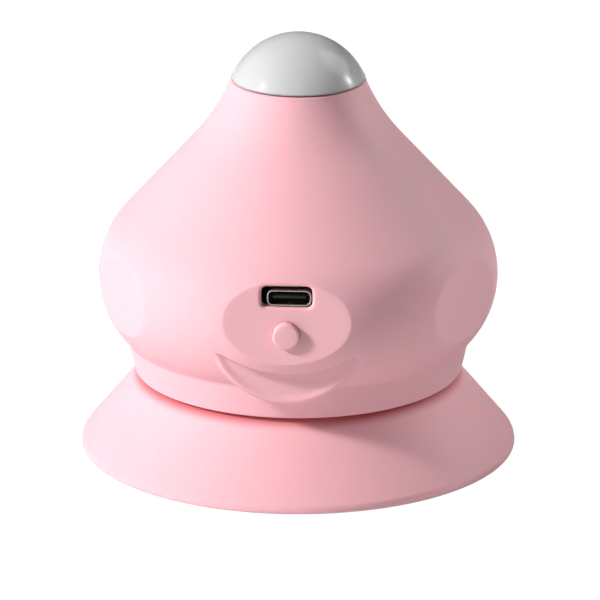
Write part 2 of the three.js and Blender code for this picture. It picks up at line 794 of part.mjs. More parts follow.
addPiece('main_board', mainBoardSolid(), greenBoard);
addPiece('usb_c_shell', socketShellSolid(), nickelSteel);
addPiece('usb_c_tongue', socketTongueSolid(), blackPlastic);
addPiece('power_button', buttonSolid(), pinkPlastic);
addPiece('switch_plunger', plungerSolid(), blackPlastic);
addPiece('switch_body', switchSolid(), blackPlastic);
addPiece('charge_controller', onBoard(-0.36, -0.2, 5, 4, 1.2), blackPlastic);
addPiece('power_inductor', onBoard(0.34, -0.22, 6, 6, 3.8), blackPlastic);
addPiece('buffer_capacitor', capacitorSolid(), aluminium);
addPiece('led_connector', ledConnectorSolid(), whitePlastic);
addPiece('battery_connector', batteryConnectorSolid(), whitePlastic);

addPiece('battery_cell', batterySolid(), blueSleeve);
addPiece('battery_pad', batteryPadSolid(), blackPlastic);
addPiece('battery_lead_red', batteryLead(1), redLead);
addPiece('battery_lead_black', batteryLead(-1), blackPlastic);
addPiece('led_lead_red', ledLead(1), redLead);
addPiece('led_lead_black', ledLead(-1), blackPlastic);

postAngles.forEach((angle, i) => {
  const [x, y] = atCompass(postCircle, angle);
  const screw = screwSolid(x, y, coverSeat - screwSeatGap, coverScrewLength);
  addPiece(`cover_screw_${i + 1}`, screw, nickelSteel);
});
bothSides.forEach((side, i) => {
  const boardScrew = screwSolid(side * boardScrewOut, 0, boardUnder - screwSeatGap, boardScrewLength);
  const sinkScrew = screwSolid(side * sinkScrewCircle, 0, flangeUnder - screwSeatGap, sinkScrewLength);
  addPiece(`board_screw_${i + 1}`, boardScrew, nickelSteel);
  addPiece(`heat_sink_screw_${i + 1}`, sinkScrew, nickelSteel);
});

export default lamp;
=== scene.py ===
"""The looks of a small UV LED nail lamp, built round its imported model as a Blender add-on."""

import math

import bmesh
import bpy
import numpy as np
from mathutils import Matrix, Vector


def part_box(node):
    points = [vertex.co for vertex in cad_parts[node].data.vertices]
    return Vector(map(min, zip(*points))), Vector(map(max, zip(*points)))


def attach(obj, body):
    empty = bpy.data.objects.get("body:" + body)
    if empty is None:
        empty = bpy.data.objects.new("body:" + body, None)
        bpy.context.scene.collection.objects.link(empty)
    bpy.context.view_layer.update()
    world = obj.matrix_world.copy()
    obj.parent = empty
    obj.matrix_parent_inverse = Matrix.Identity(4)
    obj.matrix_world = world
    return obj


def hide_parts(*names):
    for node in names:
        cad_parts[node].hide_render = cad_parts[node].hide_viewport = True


bl_info = {
    "name": "Press Lamp Maker",
    "version": (1, 0, 0),
    "blender": (4, 5, 0),
    "location": "3D View > Sidebar > Press Lamp",
    "description": "Makes the visible pieces of a small round UV LED nail lamp",
    "category": "Add Mesh",
}

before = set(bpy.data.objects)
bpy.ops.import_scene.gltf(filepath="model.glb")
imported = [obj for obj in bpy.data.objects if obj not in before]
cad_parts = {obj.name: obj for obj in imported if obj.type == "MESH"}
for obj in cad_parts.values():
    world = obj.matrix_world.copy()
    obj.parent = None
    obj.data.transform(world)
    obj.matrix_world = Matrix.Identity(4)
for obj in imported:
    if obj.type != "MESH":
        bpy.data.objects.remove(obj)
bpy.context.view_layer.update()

MM = 0.001
LAMP_BODY = "lamp"
FOOT_BODY = "foot"
BUTTON_BODY = "button"

# sizes that more than one piece shares, in millimetres
SPIGOT_RADIUS = 24.0
BUTTON_RADIUS = 2.75
TONGUE_HALF = 0.35

# how much the collar widens for each millimetre of height
COLLAR_DRAFT = 0.229

# the smile lies between two circles: their radii, and how far their lowest points are below the waist
SMILE_LOW_ROUND = 16.0
SMILE_LOW_DROP = 16.2
SMILE_TOP_ROUND = 26.0
SMILE_TOP_DROP = 9.0

# the bead on the smile: how far its crest is from the lower edge, and half its width
BEAD_PLACE = 0.9
BEAD_HALF = 1.3

# the socket's opening: its rise above the waist, its margins round the socket, its corners
PORT_RISE = 7.05
PORT_EXTRA_WIDTH = 1.36
PORT_EXTRA_HEIGHT = 0.94
PORT_CORNER = 1.1

# how softly neighbouring faces of the housing flow together, in millimetres
OVAL_BLEND = 0.1
SMILE_BLEND = 0.25
EDGE_BLEND = 0.22
COLLAR_BLEND = 0.35
SIDE_BLEND = 0.12

# turn of the side ovals from the face, and how far round them their planes count, in degrees
SIDE_OVAL_TURN = 63
SIDE_OVAL_REACH = 40

# half the width of the finely divided front, and the radius above which it has its full width
FRONT_HALF = 17.0
FULL_WIDTH_RADIUS = 37.9

# name, turn from the face, rise, distance, width, height, power, whether glossy faces mirror it
LIGHTS = (
    ("key_softbox", -71.0, 34.0, 1.6, 0.2, 0.2, 31.0, False),
    ("left_glint", -68.0, 30.0, 1.6, 0.15, 0.3, 4.0, True),
    ("left_low", -60.0, 6.0, 1.6, 0.6, 0.4, 3.5, True),
    ("front_low", -5.0, 12.0, 1.6, 0.75, 0.5, 2.4, True),
    ("back_right", 122.0, 42.0, 1.6, 1.0, 1.0, 9.0, True),
    ("rim_strip", 110.0, 22.0, 1.4, 0.04, 0.2, 4.0, True),
)
LIGHT_AIM = 0.035
ROOM_STRENGTH = 0.0

# half the floor's width, its height, its glow, and the glow's share of what the camera sees
FLOOR_HALF = 3.0
FLOOR_HEIGHT = -0.05 * MM
FLOOR_GLOW = 1.1
FLOOR_SHARE = 0.93

# the camera's turn and rise are in degrees, its distance and its aim's height in metres
CAMERA_TURN = 3.5
CAMERA_RISE = 18.58
CAMERA_DISTANCE = 1.15
CAMERA_AIM = 0.03052
CAMERA_LENS = 332.4
CAMERA_SHIFT = 0.0028


def node_low(name):
    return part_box(name)[0]


def node_high(name):
    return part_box(name)[1]


# ---------------------------------------------------------------- sizes and colours


def distance(name, description, default):
    """A length property, given here in millimetres."""
    return bpy.props.FloatProperty(
        name=name, description=description, default=default * MM, unit="LENGTH", subtype="DISTANCE"
    )


def tint(name, description, default):
    return bpy.props.FloatVectorProperty(
        name=name, description=description, default=default, subtype="COLOR", size=3, min=0, max=1
    )


class LampSizes(bpy.types.PropertyGroup):
    bulge_round: distance("Bulge round", "Radius of the bulge's section", 18.7)
    waist_rise: distance("Waist rise", "Height of the widest circle above the rim", 20.3)
    cone_lean: bpy.props.FloatProperty(
        name="Cone lean",
        description="Angle between the cone's side and the vertical",
        default=math.radians(42.2),
        subtype="ANGLE",
    )
    neck_round: distance("Neck round", "Radius of the flare under the dome", 42.0)
    neck_lean: bpy.props.FloatProperty(
        name="Neck lean",
        description="Angle between the neck's side and the vertical at the mouth",
        default=math.radians(21.8),
        subtype="ANGLE",
    )
    rim_inset: distance("Rim inset", "How far the collar's rim sits inside the bulge", 7.3)
    wall: distance("Wall", "Thickness of the housing's wall", 2.2)
    oval_depth: distance("Oval depth", "Depth of the flat front oval", 2.08)
    oval_tilt: bpy.props.FloatProperty(
        name="Oval tilt",
        description="How far the front oval looks upwards",
        default=math.radians(6.0),
        subtype="ANGLE",
    )
    side_oval_depth: distance("Side oval depth", "Depth of the flat ovals at the sides", 1.9)
    smile_inset: distance("Smile inset", "Depth of the smile's face inside the bulge", 3.85)
    lip_round: distance("Lip round", "Rounding of the smile's lower edge", 0.8)
    lip_ridge: distance("Lip ridge", "Height of the bead along the smile's lower edge", 0.26)
    port_round: distance("Port round", "Rounding round the socket's opening", 0.7)
    button_gap: distance("Button gap", "Gap between the button and its hole", 0.08)
    button_edge: distance("Button edge", "Rounding of the button's front edge", 0.6)


class LampColours(bpy.types.PropertyGroup):
    pink: tint("Housing pink", "Colour of the moulded housing", (0.87, 0.475, 0.524))
    foot_pink: tint("Foot pink", "Colour of the soft foot", (0.88, 0.475, 0.524))
    # painted shade: a deep red for the shadow and red bounce light on the foot under the collar
    painted_crevice_shade: tint("Painted crevice shade", "Colour of the foot close under the collar", (0.50, 0.07, 0.08))
    dome_grey: tint("Dome grey", "Colour of the silicone dome", (0.55, 0.55, 0.55))
    metal: tint("Nickel", "Colour of the plated socket and the screws", (0.52, 0.51, 0.49))
    floor: tint("Floor", "Colour of the pale floor", (0.75, 0.75, 0.75))


# ---------------------------------------------------------------- mesh helpers


def finish_mesh(name, points, faces, sharp=35.0):
    """Makes an object at the origin from points in metres, smooth except at sharp edges."""
    mesh = bpy.data.meshes.new(name)
    mesh.from_pydata(points, [], faces)
    mesh.validate()
    obj = bpy.data.objects.new(name, mesh)
    bpy.context.scene.collection.objects.link(obj)
    smooth(obj, sharp)
    return obj


def smooth(obj, sharp=35.0):
    mesh = obj.data
    mesh.polygons.foreach_set("use_smooth", [True] * len(mesh.polygons))
    mesh.set_sharp_from_angle(angle=math.radians(sharp))
    mesh.update()


def ring_faces(rings, columns):
    """Quads of a grid of closed rings in order, with the last ring joined to the first."""
    row = np.arange(rings)[:, None]
    col = np.arange(columns)[None, :]
    after_row = (row + 1) % rings
    after_col = (col + 1) % columns
    quads = np.stack(
        np.broadcast_arrays(
            row * columns + col,
            row * columns + after_col,
            after_row * columns + after_col,
            after_row * columns + col,
        ),
        axis=-1,
    )
    return quads.reshape(-1, 4).tolist()


def turned(name, profile, segments=160, sharp=35.0):
    """Turns (radius, height) points about +Z into a closed piece. A ring on the axis is one point."""
    turns = np.linspace(0, 2 * math.pi, segments, endpoint=False)
    points, rings = [], []
    for radius, height in profile:
        if radius < 1e-7:
            rings.append([len(points)])
            points.append((0.0, 0.0, height))
        else:
            rings.append(list(range(len(points), len(points) + segments)))
            points.extend((radius * math.cos(t), radius * math.sin(t), height) for t in turns)
    pairs = list(zip(rings, rings[1:]))
    if len(rings[0]) > 1 and len(rings[-1]) > 1:
        pairs.append((rings[-1], rings[0]))
    faces = []
    for low, high in pairs:
        for i in range(segments):
            k = (i + 1) % segments
            if len(low) == 1 and len(high) == 1:
                continue
            if len(low) == 1:
                faces.append((low[0], high[k], high[i]))
            elif len(high) == 1:
                faces.append((low[i], low[k], high[0]))
            else:
                faces.append((low[i], low[k], high[k], high[i]))
    return outwards(finish_mesh(name, points, faces, sharp))


def filleted(points, rounds, steps=6):
    """A closed outline with each corner rounded by its own radius."""
    out = []
    count = len(points)
    for i, (point, radius) in enumerate(zip(points, rounds)):
        here = Vector(point)
        if radius <= 0:
            out.append(tuple(here))
            continue
        back = (Vector(points[i - 1]) - here).normalized()
        ahead = (Vector(points[(i + 1) % count]) - here).normalized()
        half = back.angle(ahead) / 2
        centre = here + (back + ahead).normalized() * (radius / math.sin(half))
        start = here + back * (radius / math.tan(half)) - centre
        end = here + ahead * (radius / math.tan(half)) - centre
        first = math.atan2(start.y, start.x)
        turn = math.remainder(math.atan2(end.y, end.x) - first, 2 * math.pi)
        for k in range(steps + 1):
            angle = first + turn * k / steps
            out.append((centre.x + radius * math.cos(angle), centre.y + radius * math.sin(angle)))
    return out


def arc(centre, radius, start, end, steps):
    return [
        (centre[0] + radius * math.cos(a), centre[1] + radius * math.sin(a))
        for a in np.linspace(start, end, steps + 1)
    ]


def rounded_rectangle(width, height, corner, steps=8):
    """Points of a rounded rectangle about its centre, anticlockwise seen from the front."""
    out = []
    for quarter, (sx, sz) in enumerate(((1, 1), (-1, 1), (-1, -1), (1, -1))):
        centre = (sx * (width / 2 - corner), sz * (height / 2 - corner))
        out += arc(centre, corner, quarter * math.pi / 2, (quarter + 1) * math.pi / 2, steps)
    return out


def moved(outline, across, up):
    return [(x + across, z + up) for x, z in outline]


def swept_along_y(name, sections, sharp=35.0, capped=True):
    """Joins (outline, y) sections into a closed piece. Without caps the last joins the first."""
    count = len(sections[0][0])
    points = [(x, y, z) for outline, y in sections for x, z in outline]
    faces = []
    rows = len(sections)
    for r in range(rows - 1 if capped else rows):
        for c in range(count):
            d = (c + 1) % count
            n = (r + 1) % rows
            faces.append((r * count + c, r * count + d, n * count + d, n * count + c))
    if capped:
        faces.append(tuple(reversed(range(count))))
        faces.append(tuple(range((rows - 1) * count, rows * count)))
    return outwards(finish_mesh(name, points, faces, sharp))


def prism(name, outline, front, back):
    return swept_along_y(name, [(outline, front), (outline, back)])


def outwards(obj):
    """Turns a closed piece's faces outwards."""
    mesh = bmesh.new()
    mesh.from_mesh(obj.data)
    bmesh.ops.recalc_face_normals(mesh, faces=mesh.faces)
    mesh.to_mesh(obj.data)
    mesh.free()
    return obj


def combine(target, tool, operation):
    """Adds or cuts a tool, and leaves a plain mesh in the target."""
    modifier = target.modifiers.new("tool", "BOOLEAN")
    modifier.operation = operation
    modifier.solver = "MANIFOLD"
    modifier.object = tool
    settle(target)
    bpy.data.objects.remove(tool)


def settle(obj):
    """Replaces an object's mesh with what its modifiers make, and removes them."""
    depsgraph = bpy.context.evaluated_depsgraph_get()
    made = bpy.data.meshes.new_from_object(obj.evaluated_get(depsgraph), depsgraph=depsgraph)
    obj.modifiers.clear()
    old = obj.data
    obj.data = made
    bpy.data.meshes.remove(old)


def join(pieces, name):
    """Puts several closed pieces in one mesh."""
    mesh = bmesh.new()
    for piece in pieces:
        mesh.from_mesh(piece.data)
        bpy.data.objects.remove(piece)
    data = bpy.data.meshes.new(name)
    mesh.to_mesh(data)
    mesh.free()
    obj = bpy.data.objects.new(name, data)
    bpy.context.scene.collection.objects.link(obj)
    return obj


def place(obj, body, material, replaced):
    """Gives a piece its material and its body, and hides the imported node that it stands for."""
    obj.data.materials.clear()
    obj.data.materials.append(material)
    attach(obj, body)
    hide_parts(replaced)


# ---------------------------------------------------------------- pieces repeated by Geometry Nodes


def repeat_tree(name, spacing, place_points):
    """A tree that puts its own geometry on a set of points, realizes it and gives it a material."""
    tree = bpy.data.node_groups.new(name, "GeometryNodeTree")
    tree.interface.new_socket("Geometry", in_out="INPUT", socket_type="NodeSocketGeometry")
    tree.interface.new_socket("Count", in_out="INPUT", socket_type="NodeSocketInt")
    tree.interface.new_socket(spacing, in_out="INPUT", socket_type="NodeSocketFloat")
    tree.interface.new_socket("Material", in_out="INPUT", socket_type="NodeSocketMaterial")
    tree.interface.new_socket("Geometry", in_out="OUTPUT", socket_type="NodeSocketGeometry")
    given = tree.nodes.new("NodeGroupInput")
    out = tree.nodes.new("NodeGroupOutput")
    spread = tree.nodes.new("GeometryNodeInstanceOnPoints")
    real = tree.nodes.new("GeometryNodeRealizeInstances")
    paint = tree.nodes.new("GeometryNodeSetMaterial")
    tree.links.new(place_points(tree, given), spread.inputs["Points"])
    tree.links.new(given.outputs["Geometry"], spread.inputs["Instance"])
    tree.links.new(spread.outputs["Instances"], real.inputs["Geometry"])
    tree.links.new(real.outputs["Geometry"], paint.inputs["Geometry"])
    tree.links.new(given.outputs["Material"], paint.inputs["Material"])
    tree.links.new(paint.outputs["Geometry"], out.inputs["Geometry"])
    return tree


def points_on_circle(tree, given):
    ring = tree.nodes.new("GeometryNodeMeshCircle")
    turn = tree.nodes.new("GeometryNodeTransform")
    tree.links.new(given.outputs["Count"], ring.inputs["Vertices"])
    tree.links.new(given.outputs["Circle Radius"], ring.inputs["Radius"])
    tree.links.new(ring.outputs["Mesh"], turn.inputs["Geometry"])
    turn.inputs["Rotation"].default_value = (0, 0, math.radians(45))
    return turn.outputs["Geometry"]


def points_in_line(tree, given):
    line = tree.nodes.new("GeometryNodeMeshLine")
    step = tree.nodes.new("ShaderNodeCombineXYZ")
    start = tree.nodes.new("ShaderNodeCombineXYZ")
    tree.links.new(given.outputs["Count"], line.inputs["Count"])
    tree.links.new(given.outputs["Pitch"], step.inputs["X"])
    tree.links.new(step.outputs[0], line.inputs["Offset"])
    last = math_node(tree, "SUBTRACT", given.outputs["Count"], 1.0)
    whole = math_node(tree, "MULTIPLY", last, given.outputs["Pitch"])
    half = math_node(tree, "MULTIPLY", whole, -0.5)
    tree.links.new(half, start.inputs["X"])
    tree.links.new(start.outputs[0], line.inputs["Start Location"])
    return line.outputs["Mesh"]


def repeated(obj, tree, material, **values):
    """Runs a tree on a piece and keeps the plain mesh that it makes."""
    modifier = obj.modifiers.new("repeat", "NODES")
    modifier.node_group = tree
    sockets = {}
    for item in tree.interface.items_tree:
        if item.in_out == "INPUT":
            sockets[item.name] = item.identifier
    modifier[sockets["Material"]] = material
    for label, value in values.items():
        modifier[sockets[label.replace("_", " ")]] = value
    settle(obj)
    smooth(obj)
    return obj


# ---------------------------------------------------------------- shader groups and materials


def new_group(name, inputs, outputs):
    tree = bpy.data.node_groups.new(name, "ShaderNodeTree")
    for label, default in inputs:
        kind = "NodeSocketColor" if isinstance(default, tuple) else "NodeSocketFloat"
        socket = tree.interface.new_socket(label, in_out="INPUT", socket_type=kind)
        socket.default_value = (*default, 1.0) if isinstance(default, tuple) else default
    for label, kind in outputs:
        tree.interface.new_socket(label, in_out="OUTPUT", socket_type=kind)
    return tree, tree.nodes.new("NodeGroupInput"), tree.nodes.new("NodeGroupOutput")


def math_node(tree, operation, first, second):
    node = tree.nodes.new("ShaderNodeMath")
    node.operation = operation
    for socket, value in zip(node.inputs, (first, second)):
        if isinstance(value, bpy.types.NodeSocket):
            tree.links.new(value, socket)
        else:
            socket.default_value = value
    return node.outputs[0]


def noise(tree, scale, detail=2.0, roughness=0.5):
    node = tree.nodes.new("ShaderNodeTexNoise")
    coordinates = tree.nodes.new("ShaderNodeTexCoord")
    tree.links.new(coordinates.outputs["Object"], node.inputs["Vector"])
    node.inputs["Detail"].default_value = detail
    node.inputs["Roughness"].default_value = roughness
    tree.links.new(scale, node.inputs["Scale"])
    return node.outputs["Fac"]


def grain_group():
    """The fine spark-eroded grain of a moulded surface, as a height."""
    tree, given, out = new_group("moulded_grain", [("Scale", 2500.0)], [("Height", "NodeSocketFloat")])
    fine = noise(tree, given.outputs["Scale"], detail=3.0)
    coarse = noise(tree, math_node(tree, "MULTIPLY", given.outputs["Scale"], 0.22))
    mixed = math_node(tree, "ADD", fine, math_node(tree, "MULTIPLY", coarse, 0.6))
    tree.links.new(mixed, out.inputs["Height"])
    return tree


def sheen_group():
    """Roughness that changes a little from place to place, as on a handled surface."""
    tree, given, out = new_group(
        "handled_gloss",
        [("Roughness", 0.4), ("Spread", 0.05), ("Scale", 60.0)],
        [("Roughness", "NodeSocketFloat")],
    )
    patch = noise(tree, given.outputs["Scale"], detail=4.0, roughness=0.6)
    centred = math_node(tree, "SUBTRACT", patch, 0.5)
    shift = math_node(tree, "MULTIPLY", centred, given.outputs["Spread"])
    shift = math_node(tree, "MULTIPLY", shift, 2.0)
    tree.links.new(math_node(tree, "ADD", given.outputs["Roughness"], shift), out.inputs["Roughness"])
    return tree


def shade_group():
    """A base colour with a faint cloudiness, as moulded pigment has."""
    tree, given, out = new_group(
        "pigment_cloud",
        [("Colour", (0.8, 0.8, 0.8)), ("Amount", 0.03), ("Scale", 40.0)],
        [("Colour", "NodeSocketColor")],
    )
    cloud = noise(tree, given.outputs["Scale"], detail=3.0)
    centred = math_node(tree, "SUBTRACT", cloud, 0.5)
    gain = math_node(tree, "ADD", math_node(tree, "MULTIPLY", centred, given.outputs["Amount"]), 1.0)
    scaled = tree.nodes.new("ShaderNodeVectorMath")
    scaled.operation = "SCALE"
    tree.links.new(given.outputs["Colour"], scaled.inputs[0])
    tree.links.new(gain, scaled.inputs["Scale"])
    tree.links.new(scaled.outputs[0], out.inputs["Colour"])
    return tree


def painted_shade_group():
    """Painted shade: a colour that deepens with height, outside a given radius."""
    tree, given, out = new_group(
        "crevice_painted_shade",
        [
            ("Colour", (0.8, 0.8, 0.8)),
            ("Deep Colour", (0.4, 0.1, 0.1)),
            ("Start", 0.0),
            ("End", 1.0),
            ("Inner Radius", 0.0),
        ],
        [("Colour", "NodeSocketColor")],
    )
    coordinates = tree.nodes.new("ShaderNodeTexCoord")
    split = tree.nodes.new("ShaderNodeSeparateXYZ")
    ramp = tree.nodes.new("ShaderNodeMapRange")
    ramp.interpolation_type = "SMOOTHSTEP"
    mix = tree.nodes.new("ShaderNodeMixRGB")
    tree.links.new(coordinates.outputs["Object"], split.inputs[0])
    tree.links.new(split.outputs["Z"], ramp.inputs["Value"])
    tree.links.new(given.outputs["Start"], ramp.inputs["From Min"])
    tree.links.new(given.outputs["End"], ramp.inputs["From Max"])
    across = math_node(tree, "MULTIPLY", split.outputs["X"], split.outputs["X"])
    along = math_node(tree, "MULTIPLY", split.outputs["Y"], split.outputs["Y"])
    radius = math_node(tree, "SQRT", math_node(tree, "ADD", across, along), 0.0)
    outside = math_node(tree, "GREATER_THAN", radius, given.outputs["Inner Radius"])
    tree.links.new(math_node(tree, "MULTIPLY", ramp.outputs["Result"], outside), mix.inputs["Fac"])
    tree.links.new(given.outputs["Colour"], mix.inputs["Color1"])
    tree.links.new(given.outputs["Deep Colour"], mix.inputs["Color2"])
    tree.links.new(mix.outputs["Color"], out.inputs["Colour"])
    return tree


GROUP_MAKERS = {
    "moulded_grain": grain_group,
    "handled_gloss": sheen_group,
    "pigment_cloud": shade_group,
    "crevice_painted_shade": painted_shade_group,
}


def use_group(tree, name, **values):
    """Adds a shader group to a material, and makes the group if it isn't there yet."""
    node = tree.nodes.new("ShaderNodeGroup")
    node.node_tree = bpy.data.node_groups.get(name) or GROUP_MAKERS[name]()
    for label, value in values.items():
        socket = node.inputs[label.replace("_", " ")]
        socket.default_value = (*value, 1.0) if isinstance(value, tuple) else value
    return node


def finish_of(name, colour, roughness, grain=0.0, grain_scale=2500.0, spread=0.04, **fixed):
    """A moulded or machined finish: clouded colour, handled gloss and fine grain on one shader."""
    material = bpy.data.materials.new(name)
    material.use_nodes = True
    tree = material.node_tree
    shader = tree.nodes["Principled BSDF"]
    pigment = use_group(tree, "pigment_cloud", Colour=tuple(colour))
    tree.links.new(pigment.outputs["Colour"], shader.inputs["Base Color"])
    gloss = use_group(tree, "handled_gloss", Roughness=roughness, Spread=spread)
    tree.links.new(gloss.outputs["Roughness"], shader.inputs["Roughness"])
    if grain > 0:
        texture = use_group(tree, "moulded_grain", Scale=grain_scale)
        bump = tree.nodes.new("ShaderNodeBump")
        bump.inputs["Strength"].default_value = grain
        bump.inputs["Distance"].default_value = 0.02 * MM
        tree.links.new(texture.outputs["Height"], bump.inputs["Height"])
        tree.links.new(bump.outputs["Normal"], shader.inputs["Normal"])
    for label, value in fixed.items():
        shader.inputs[label.replace("_", " ")].default_value = value
    return material


# ---------------------------------------------------------------- the housing's skin


def soft_min(a, b, k):
    h = np.maximum(k - np.abs(a - b), 0) / k
    return np.minimum(a, b) - h * h * k / 4


def soft_max(a, b, k):
    return -soft_min(-a, -b, k)


class Outline:
    """The housing's turned outline: collar, bulge, cone and neck, in millimetres."""

    def __init__(self, sizes):
        low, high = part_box("housing_shell")
        self.rim = low.z / MM
        self.mouth = high.z / MM
        self.widest = high.x / MM
        self.round = sizes.bulge_round / MM
        self.middle = self.widest - self.round
        self.waist = self.rim + sizes.waist_rise / MM
        self.rim_radius = self.widest - sizes.rim_inset / MM
        self.lean = sizes.cone_lean
        self.neck = sizes.neck_round / MM
        self.neck_lean = sizes.neck_lean
        drop = self.neck * (math.cos(self.neck_lean) - math.cos(self.lean))
        rise = self.neck * (math.sin(self.lean) - math.sin(self.neck_lean))
        self.cone_top = self.mouth - rise
        self.cone_low = self.waist + self.round * math.sin(self.lean)
        radius = self.middle + self.round * math.cos(self.lean)
        self.mouth_radius = radius - math.tan(self.lean) * (self.cone_top - self.cone_low) - drop
        self.flare = (
            self.mouth_radius + self.neck * math.cos(self.neck_lean),
            self.mouth + self.neck * math.sin(self.neck_lean),
        )

    def radius(self, z):
        """Outer radius at each height."""
        z = np.asarray(z, float)
        collar = self.rim_radius + COLLAR_DRAFT * (z - self.rim)
        inside = np.maximum(self.round**2 - (z - self.waist) ** 2, 0)
        bulge = self.middle + np.sqrt(inside)
        cone = self.middle + self.round * math.cos(self.lean)
        cone = cone - math.tan(self.lean) * (z - self.cone_low)
        across = np.maximum(self.neck**2 - (z - self.flare[1]) ** 2, 0)
        neck = self.flare[0] - np.sqrt(across)
        below = soft_max(collar, bulge, COLLAR_BLEND)
        out = np.where(z < self.waist, below, bulge)
        out = np.where(z > self.cone_low, cone, out)
        return np.where(z > self.cone_top, neck, out)


class Face:
    """The housing's front: the flat oval, the smile and the socket's opening, in millimetres."""

    def __init__(self, outline, sizes):
        self.outline = outline
        o = outline
        reach = o.round - sizes.oval_depth / MM
        self.tilt = sizes.oval_tilt
        self.plane_out = o.middle + reach * math.cos(self.tilt)
        self.plane_up = o.waist + reach * math.sin(self.tilt)
        self.smile = o.widest - sizes.smile_inset / MM
        self.lip = sizes.lip_round / MM
        self.ridge = sizes.lip_ridge / MM
        self.low_round = SMILE_LOW_ROUND
        self.top_round = SMILE_TOP_ROUND
        self.low_centre = o.waist - SMILE_LOW_DROP + self.low_round
        self.top_centre = o.waist - SMILE_TOP_DROP + self.top_round
        between = self.top_centre - self.low_centre
        above = (between**2 + self.low_round**2 - self.top_round**2) / (2 * between)
        self.tip = math.sqrt(self.low_round**2 - above**2)
        shell_low, shell_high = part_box("usb_c_shell")
        self.port_up = o.waist + PORT_RISE
        self.port_wide = (shell_high.x - shell_low.x) / MM + PORT_EXTRA_WIDTH
        self.port_high = (shell_high.z - shell_low.z) / MM + PORT_EXTRA_HEIGHT
        self.port_round = sizes.port_round / MM
        button_low, button_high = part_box("switch_plunger")
        self.button_up = (button_low.z + button_high.z) / 2 / MM
        self.hole = BUTTON_RADIUS + sizes.button_gap / MM

    def plane(self, z):
        return self.plane_out - (z - self.plane_up) * math.tan(self.tilt)

    def port_distance(self, x, z):
        """Signed distance to the outline of the socket's opening, positive outside."""
        dx = np.abs(x) - (self.port_wide / 2 - PORT_CORNER)
        dz = np.abs(z - self.port_up) - (self.port_high / 2 - PORT_CORNER)
        outside = np.hypot(np.maximum(dx, 0), np.maximum(dz, 0))
        return outside + np.minimum(np.maximum(dx, dz), 0) - PORT_CORNER

    def lower_edge(self, x, z):
        return self.low_round - np.hypot(x, z - self.low_centre)

    def upper_edge(self, x, z):
        return np.hypot(x, z - self.top_centre) - self.top_round

    def forward(self, x, z):
        """How far the surface stands in front of the axis at each place."""
        body = np.sqrt(np.maximum(self.outline.radius(z) ** 2 - x**2, 0))
        front = soft_min(body, self.plane(z), OVAL_BLEND)
        low = self.lower_edge(x, z)
        top = self.upper_edge(x, z)
        inside = np.clip(self.lip - low, 0, self.lip)
        fall = self.lip - np.sqrt(np.maximum(self.lip**2 - inside**2, 0))
        crest = np.clip(1 - np.abs(low - BEAD_PLACE) / BEAD_HALF, 0, 1)
        crest = self.ridge * crest * crest * (3 - 2 * crest)

        # where the body curves in, the smile's face stands out and falls away steeply at its edges
        steep = 40
        boss = self.smile + crest - fall - steep * np.maximum(-low - 0.02, 0)
        boss = boss - steep * np.maximum(-top - 1, 0)
        joined = soft_max(front, boss, SMILE_BLEND)

        # where the body is further out, it is cut back to that face, less deeply near the two tips
        within = soft_min(low, top, 2.0)
        wall_slope, tip_slope, tip_margin = 9, 0.35, 0.8
        cut = self.smile + crest + wall_slope * np.maximum(EDGE_BLEND - within, 0)
        from_tip = np.maximum(self.tip - tip_margin - np.abs(x), 0)
        cut = np.maximum(cut, joined - tip_slope * from_tip)
        front = soft_min(joined, cut, EDGE_BLEND)
        gap = np.clip(self.port_round - self.port_distance(x, z), 0, self.port_round)
        front = front - (self.port_round - np.sqrt(self.port_round**2 - gap**2))
        return front


def skin_columns(widest):
    """Sideways places of the fine front columns, and turns of the other columns on the right."""
    fine = np.concatenate([np.arange(0, 6.6, 0.15), np.arange(6.8, FRONT_HALF + 0.01, 0.25)])
    front = np.concatenate([-fine[:0:-1], fine])
    edge = math.degrees(math.asin(FRONT_HALF / widest))
    side = np.arange(edge + 2.0, 43, 2.2)
    oval = np.arange(43.5, 83, 0.7)
    back = np.arange(84.5, 180, 3.0)
    right = np.concatenate([side, oval, back])
    return front, np.radians(right)


def skin_rows(outline, wall):
    """Radii and heights of the section, up the outside and down the inside, and which are outside."""
    rim, mouth = outline.rim, outline.mouth
    edge = 0.4
    fine_low, fine_high = 33, 48.5
    heights = np.concatenate(
        [
            np.arange(rim + edge, fine_low, 0.25),
            np.arange(fine_low, fine_high, 0.15),
            np.linspace(fine_high, mouth - edge, 30),
        ]
    )
    base = outline.radius(rim + edge)
    rows = []
    for angle in (0, 0.4, 0.8, 1.2):
        rows.append((base - edge + edge * math.sin(angle), rim + edge - edge * math.cos(angle)))
    rows += [(float(outline.radius(z)), z) for z in heights]
    top = float(outline.radius(mouth - edge))
    for angle in (0.37, 0.75, 1.15, math.pi / 2):
        rows.append((top - edge + edge * math.cos(angle), mouth - edge + edge * math.sin(angle)))
    outer_rows = len(rows)

    bore = outline.mouth_radius - wall - 0.4
    bevel, seat = 0.15, 2.4
    rows += [(bore + bevel, mouth), (bore, mouth - bevel), (bore, mouth - seat)]
    samples = np.linspace(rim, mouth, 400)
    slope = np.gradient(outline.radius(samples), samples)
    for z in np.linspace(mouth - seat, rim + 2.0, 26):
        steep = np.interp(z, samples, slope)
        rows.append((float(outline.radius(z)) - wall * math.hypot(1, steep), z))
    rows.append((outline.rim_radius - 0.9, rim))
    radii = np.array([r for r, _ in rows])
    ups = np.array([z for _, z in rows])
    return radii, ups, np.arange(len(rows)) < outer_rows


